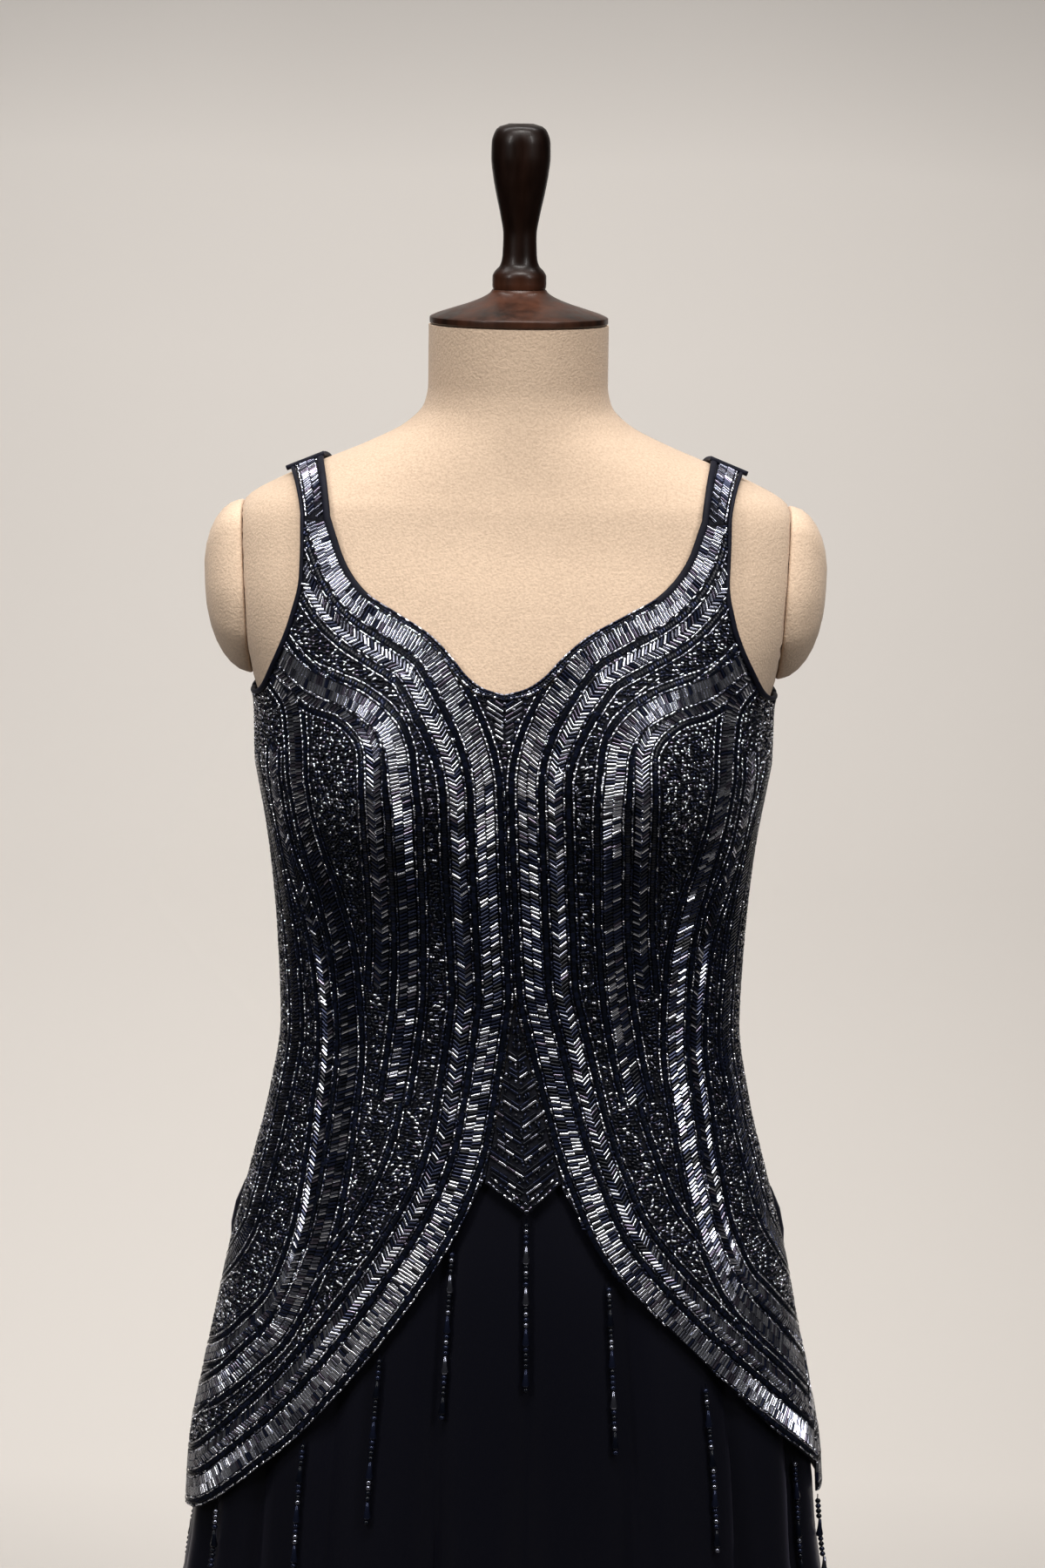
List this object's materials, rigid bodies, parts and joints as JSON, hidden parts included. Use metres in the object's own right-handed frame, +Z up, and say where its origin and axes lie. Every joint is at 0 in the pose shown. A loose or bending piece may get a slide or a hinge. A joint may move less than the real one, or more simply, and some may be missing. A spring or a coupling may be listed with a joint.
{
  "type": "mermaid gown on dress form",
  "caption": "Sleeveless floor-length mermaid gown with a beaded bodice and bead strands over a plain skirt, on a limbless cloth-covered dress form with a turned cap and a pole stand.",
  "frame": {"origin": "on the floor under the middle of the form: the centre of the stand base's flat underside", "axes": "+Z up along the pole, front of the gown towards -Y, +X to the side that is on the right when seen from the front"},
  "size_m": [0.8603, 0.7317, 1.6551],
  "materials": {
    "beaded_navy": "dark navy cloth covered with glossy bugle and seed beads",
    "navy_satin": "very dark navy satin-backed crepe, soft sheen",
    "navy_binding": "plain dark navy bias binding",
    "glass_bead": "opaque glossy gunmetal blue beads",
    "form_suede": "matte cream cover with a fine pebbled nap",
    "dark_wood": "turned, dark brown, polished",
    "zip_metal": "dark enamelled metal"
  },
  "bodies": {
    "gown_on_form": {"armhole_binding_left": "navy_binding", "armhole_binding_right": "navy_binding", "bead_strand_01": "glass_bead", "bead_strand_02": "glass_bead", "bead_strand_03": "glass_bead", "bead_strand_04": "glass_bead", "bead_strand_05": "glass_bead", "bead_strand_06": "glass_bead", "bead_strand_07": "glass_bead", "bead_strand_08": "glass_bead", "bead_strand_09": "glass_bead", "bead_strand_10": "glass_bead", "bead_strand_11": "glass_bead", "bead_strand_12": "glass_bead", "bead_strand_13": "glass_bead", "bead_strand_14": "glass_bead", "bead_strand_15": "glass_bead", "bead_strand_16": "glass_bead", "bead_strand_17": "glass_bead", "bodice_back_left": "beaded_navy", "bodice_back_right": "beaded_navy", "bodice_front": "beaded_navy", "form_arm_cap_left": "form_suede", "form_arm_cap_right": "form_suede", "form_torso": "form_suede", "front_inset": "beaded_navy", "neck_cap": "dark_wood", "neck_knob": "dark_wood", "neckline_binding": "navy_binding", "skirt_back": "navy_satin", "skirt_front": "navy_satin", "stand_base": "dark_wood", "stand_pole": "dark_wood", "strap_left": "beaded_navy", "strap_right": "beaded_navy", "zip_slider": "zip_metal", "zip_tape": "navy_binding"},
    "zip_pull": {"zip_pull": "zip_metal"}
  },
  "joints": [
    {"name": "zip_pull_hinge", "type": "hinge", "parent": "gown_on_form", "child": "zip_pull", "pos_m": [0, 0.11412, 1.272], "axis": [1, 0, 0], "range_deg": [0, 150]}
  ]
}
